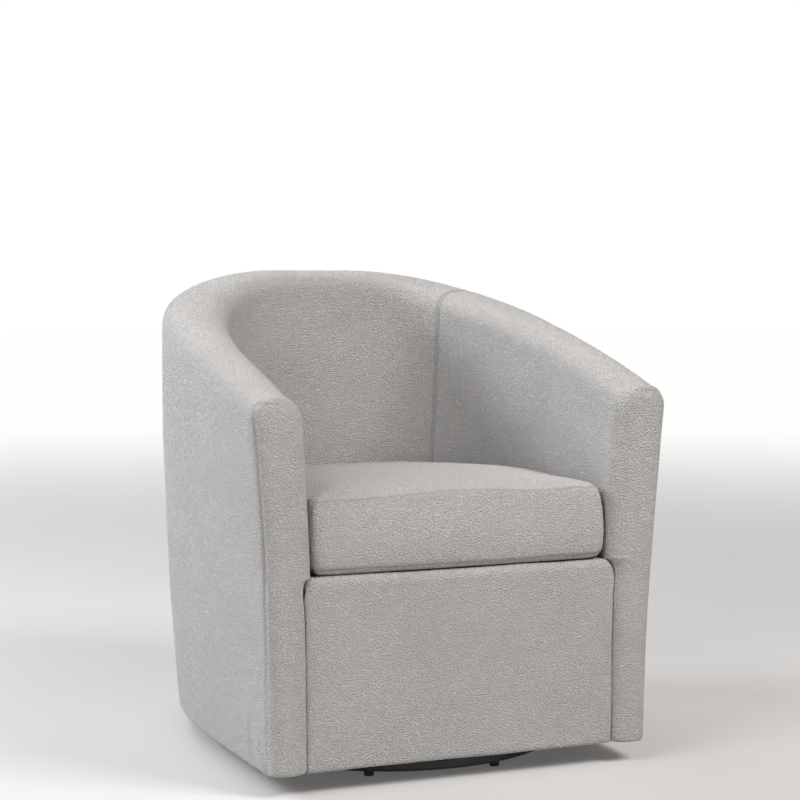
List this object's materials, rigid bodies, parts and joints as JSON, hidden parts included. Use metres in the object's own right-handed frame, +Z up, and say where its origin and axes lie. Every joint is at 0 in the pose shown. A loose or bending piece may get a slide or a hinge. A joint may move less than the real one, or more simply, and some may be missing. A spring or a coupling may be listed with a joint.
{
  "type": "swivel barrel chair",
  "caption": "Upholstered barrel chair with sloping arms and a loose box seat cushion, on a low black ring base with a swivel.",
  "frame": {"origin": "on the floor, under the middle of the box round the whole chair", "axes": "+Z up, -Y towards the front of the chair, +X to the right of someone who faces the chair"},
  "size_m": [0.7222, 0.8034, 0.79],
  "materials": {
    "cover_fabric": "matte",
    "black_steel": "satin",
    "black_plastic": "matte",
    "zinc_steel": "satin",
    "bearing_steel": "polished",
    "plywood": "matte",
    "timber": "matte",
    "fibreboard": "matte",
    "wadding": "matte",
    "black_cloth": "matte",
    "webbing": "matte",
    "foam": "matte",
    "zip_tape": "matte",
    "zip_metal": "satin"
  },
  "bodies": {
    "base": {"base_ring": "black_steel", "base_bar_long": "black_steel", "base_bar_left": "black_steel", "base_bar_right": "black_steel", "glide_pads": "black_plastic", "glide_pins": "zinc_steel", "swivel_lower_plate": "zinc_steel", "swivel_plate_bolts": "zinc_steel", "king_bolt": "zinc_steel", "king_washer": "zinc_steel", "king_nut": "zinc_steel"},
    "bearing": {"ball_cage": "zinc_steel", "bearing_balls": "bearing_steel"},
    "seat": {"swivel_upper_plate": "zinc_steel", "swivel_plate_screws": "zinc_steel", "packing_block": "plywood", "swivel_slats": "plywood", "slat_screws": "zinc_steel", "bottom_hoop": "plywood", "seat_hoop": "plywood", "top_hoop": "plywood", "lower_posts": "timber", "upper_posts": "timber", "arm_post_left": "timber", "arm_post_right": "timber", "front_seat_rail": "timber", "rear_seat_rail": "timber", "bottom_front_rail": "timber", "corner_blocks": "timber", "seat_springs": "zinc_steel", "spring_clips": "zinc_steel", "deck_pad": "wadding", "deck_cloth": "black_cloth", "webbing_straps": "webbing", "outside_board": "fibreboard", "outside_wadding": "wadding", "inside_lining": "webbing", "rim_roll_foam": "foam", "inside_back_foam": "foam", "inside_arm_foam_left": "foam", "inside_arm_foam_right": "foam", "arm_front_pad_left": "foam", "arm_front_pad_right": "foam", "outside_cover": "cover_fabric", "inside_back_cover": "cover_fabric", "inside_arm_cover_left": "cover_fabric", "inside_arm_cover_right": "cover_fabric", "arm_front_cover_left": "cover_fabric", "arm_front_cover_right": "cover_fabric", "front_border_foam": "foam", "front_border_cover": "cover_fabric", "dust_cover": "black_cloth"},
    "cushion": {"cushion_core": "foam", "cushion_wrap": "wadding", "cushion_top": "cover_fabric", "cushion_boxing": "cover_fabric", "cushion_bottom": "cover_fabric", "cushion_zip": "zip_tape"},
    "zip": {"zip_slider": "zip_metal"}
  },
  "joints": [
    {"name": "swivel", "type": "hinge", "parent": "base", "child": "seat", "pos_m": [0, -0.057, 0.0325], "axis": [0, 0, 1], "continuous": true},
    {"name": "cage_turn", "type": "hinge", "parent": "base", "child": "bearing", "pos_m": [0, -0.057, 0.0325], "axis": [0, 0, 1], "continuous": true},
    {"name": "cushion_lift", "type": "slide", "parent": "seat", "child": "cushion", "axis": [0, 0, 1], "range_m": [0, 0.46]},
    {"name": "zip_slide", "type": "hinge", "parent": "cushion", "child": "zip", "pos_m": [0, -0.18754, 0.3995], "axis": [0, 0, 1], "range_deg": [0, 23.9]}
  ],
  "couplings": [
    {"joint": "cage_turn", "follows": "swivel", "ratio": 0.5}
  ]
}
